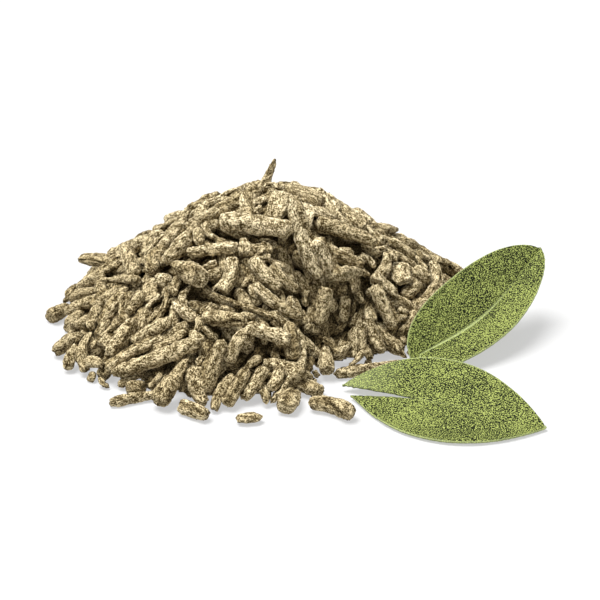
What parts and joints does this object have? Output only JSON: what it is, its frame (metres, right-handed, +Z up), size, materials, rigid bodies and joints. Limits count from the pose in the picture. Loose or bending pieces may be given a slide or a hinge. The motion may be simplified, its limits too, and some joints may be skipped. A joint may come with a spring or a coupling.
{
  "type": "heap of cut dried sage with two fresh sage leaves",
  "caption": "Low heap of short rolled scraps of cut dried sage, with one fresh sage leaf leaning on its flank and one lying split in front of it.",
  "frame": {"origin": "on the ground, below the top of the heap", "axes": "+X to the side on which the leaves lie, -Y to the front, where the lying leaf is, +Z up"},
  "size_m": [0.1493, 0.1398, 0.0483],
  "materials": {
    "dried_sage": "dull, fuzzy and speckled",
    "dried_sage_shade": "dull, in the shade of the scraps above",
    "fresh_leaf": "matt, finely pebbled"
  },
  "bodies": {
    "root": {"apex_spike": "dried_sage", "crest_long_roll": "dried_sage", "flake_01": "dried_sage", "flake_02": "dried_sage", "front_foot_roll": "dried_sage", "front_leaning_roll": "dried_sage", "front_long_roll": "dried_sage", "front_short_roll": "dried_sage", "front_thin_roll": "dried_sage", "joined_scraps": "dried_sage_shade", "leaf_prop_roll": "dried_sage", "leaf_prop_stem": "dried_sage", "leaning_leaf": "fresh_leaf", "left_edge_flake": "dried_sage", "left_foot_crumb": "dried_sage", "left_shoulder_roll": "dried_sage", "left_slope_roll": "dried_sage", "long_roll_01": "dried_sage", "long_roll_02": "dried_sage", "long_roll_03": "dried_sage", "long_roll_04": "dried_sage", "long_roll_05": "dried_sage", "long_roll_06": "dried_sage", "long_roll_07": "dried_sage", "long_roll_08": "dried_sage", "long_roll_09": "dried_sage", "long_roll_10": "dried_sage", "long_roll_11": "dried_sage", "long_roll_12": "dried_sage", "loose_curved_roll": "dried_sage", "loose_flat_crumb": "dried_sage", "loose_lumpy_roll": "dried_sage", "loose_pointed_roll": "dried_sage", "lying_leaf": "fresh_leaf", "right_flat_roll": "dried_sage", "right_foot_roll": "dried_sage", "right_low_roll": "dried_sage", "right_shoulder_roll": "dried_sage", "right_slope_long_roll": "dried_sage", "roll_01": "dried_sage", "roll_02": "dried_sage", "roll_03": "dried_sage", "roll_04": "dried_sage", "roll_05": "dried_sage", "roll_06": "dried_sage", "roll_07": "dried_sage", "roll_08": "dried_sage", "roll_09": "dried_sage", "roll_10": "dried_sage", "roll_11": "dried_sage", "roll_12": "dried_sage", "roll_13": "dried_sage", "roll_14": "dried_sage", "roll_15": "dried_sage", "roll_16": "dried_sage", "roll_17": "dried_sage", "roll_18": "dried_sage", "roll_19": "dried_sage", "roll_20": "dried_sage", "roll_21": "dried_sage"}
  },
  "joints": []
}
